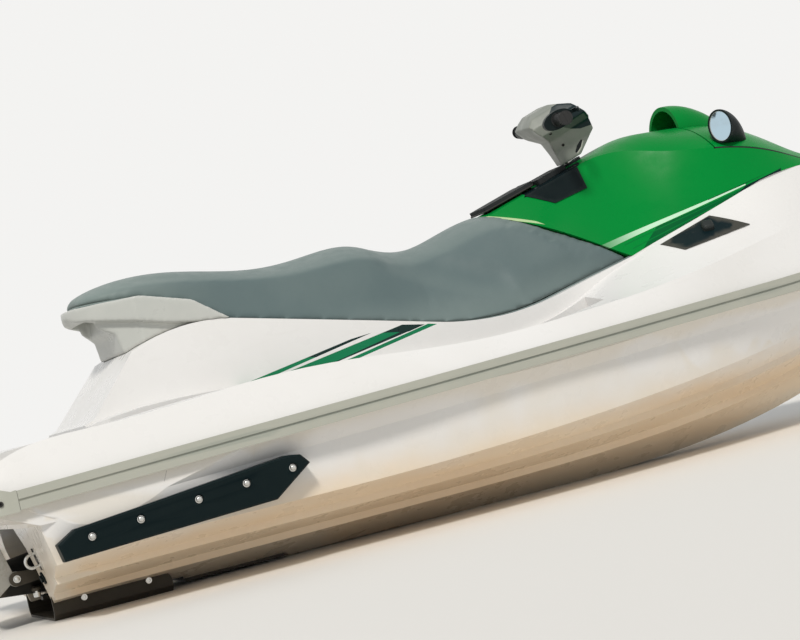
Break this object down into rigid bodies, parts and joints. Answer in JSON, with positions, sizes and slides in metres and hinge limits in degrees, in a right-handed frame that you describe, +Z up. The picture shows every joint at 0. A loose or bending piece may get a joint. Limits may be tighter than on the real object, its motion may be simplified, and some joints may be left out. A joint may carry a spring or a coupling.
{
  "type": "personal watercraft",
  "caption": "Sit-down jet-drive personal watercraft for a rider and passengers, with a long step seat, hinged bow hood, turning handlebar, steering nozzle and reverse gate.",
  "frame": {"origin": "middle of the length and beam, on the floor that the keel flat and the ride plate stand on", "axes": "+X to the bow, +Y to port, +Z up"},
  "size_m": [3.2199, 1.1648, 1.1477],
  "materials": {
    "white_gelcoat": "gelcoat, tan stain low on the hull",
    "green_gelcoat": "gloss, faded a little",
    "grey_gelcoat": "satin, lightly scuffed",
    "grey_bumper": "matt, weathered",
    "black_plastic": "moulded, satin",
    "black_rubber": "matt",
    "seat_vinyl": "grained marine vinyl",
    "cast_alloy": "cast, dull",
    "black_paint": "satin, worn",
    "stainless_steel": "polished, salt spotted",
    "mirror_glass": "convex mirror"
  },
  "bodies": {
    "hull": {"hull": "white_gelcoat", "deck": "white_gelcoat", "rub_rail": "grey_bumper", "stern_bumpers": "grey_bumper", "seat": "seat_vinyl", "tail_handle": "grey_gelcoat", "console": "green_gelcoat", "console_pad": "black_rubber", "console_panels": "black_plastic", "lid_hinge": "black_plastic", "side_vents": "black_plastic", "hatch_hinge": "stainless_steel", "hatch_seal": "black_rubber", "storage_bin": "black_plastic", "deck_mats": "black_rubber", "column_collar": "black_plastic", "sponsons": "black_plastic", "ride_plate": "black_paint", "intake_grate": "black_paint", "pump": "black_paint", "engine": "cast_alloy", "rod_gland": "black_rubber", "drain_plugs": "black_plastic", "stern_eyes": "stainless_steel", "bow_eye": "stainless_steel"},
    "hatch": {"hatch": "green_gelcoat", "mirrors": "black_plastic", "mirror_glasses": "mirror_glass", "gauge_visor": "green_gelcoat", "gauge": "black_plastic"},
    "glovebox_lid": {"glovebox_lid": "black_rubber"},
    "steering": {"steering_column": "stainless_steel", "handlebar": "stainless_steel", "steering_cover": "grey_gelcoat", "grips": "black_rubber", "bar_controls": "black_plastic", "throttle_lever": "black_plastic"},
    "nozzle": {"steering_nozzle": "black_paint"},
    "link_rod": {"steering_rod": "stainless_steel"},
    "reverse_gate": {"reverse_gate": "cast_alloy"},
    "impeller": {"impeller": "stainless_steel", "drive_shaft": "stainless_steel"}
  },
  "joints": [
    {"name": "steering_turn", "type": "hinge", "parent": "hull", "child": "steering", "pos_m": [0.452, 0, 0.947], "axis": [-0.342, 0, 0.9397], "range_deg": [-6, 38]},
    {"name": "nozzle_turn", "type": "hinge", "parent": "hull", "child": "nozzle", "pos_m": [-1.41, 0, 0.13], "axis": [0, 0, 1], "range_deg": [-34.3, 5.5]},
    {"name": "rod_slide", "type": "slide", "parent": "hull", "child": "link_rod", "axis": [1, 0, 0], "range_m": [-0.0713, 0.0114]},
    {"name": "gate_swing", "type": "hinge", "parent": "hull", "child": "reverse_gate", "pos_m": [-1.502, 0, 0.13], "axis": [0, 1, 0], "range_deg": [0, 60]},
    {"name": "hatch_swing", "type": "hinge", "parent": "hull", "child": "hatch", "pos_m": [1.436, 0, 0.76771], "axis": [0, 1, 0], "range_deg": [0, 55]},
    {"name": "lid_swing", "type": "hinge", "parent": "hull", "child": "glovebox_lid", "pos_m": [0.28014, 0, 0.91081], "axis": [0, 1, 0], "range_deg": [0, 80]},
    {"name": "impeller_spin", "type": "hinge", "parent": "hull", "child": "impeller", "pos_m": [-1.131, 0, 0.13], "axis": [1, 0, 0], "continuous": true}
  ],
  "couplings": [
    {"joint": "nozzle_turn", "follows": "steering_turn", "ratio": -0.9},
    {"joint": "rod_slide", "follows": "steering_turn", "m_per_rad": -0.1073}
  ]
}
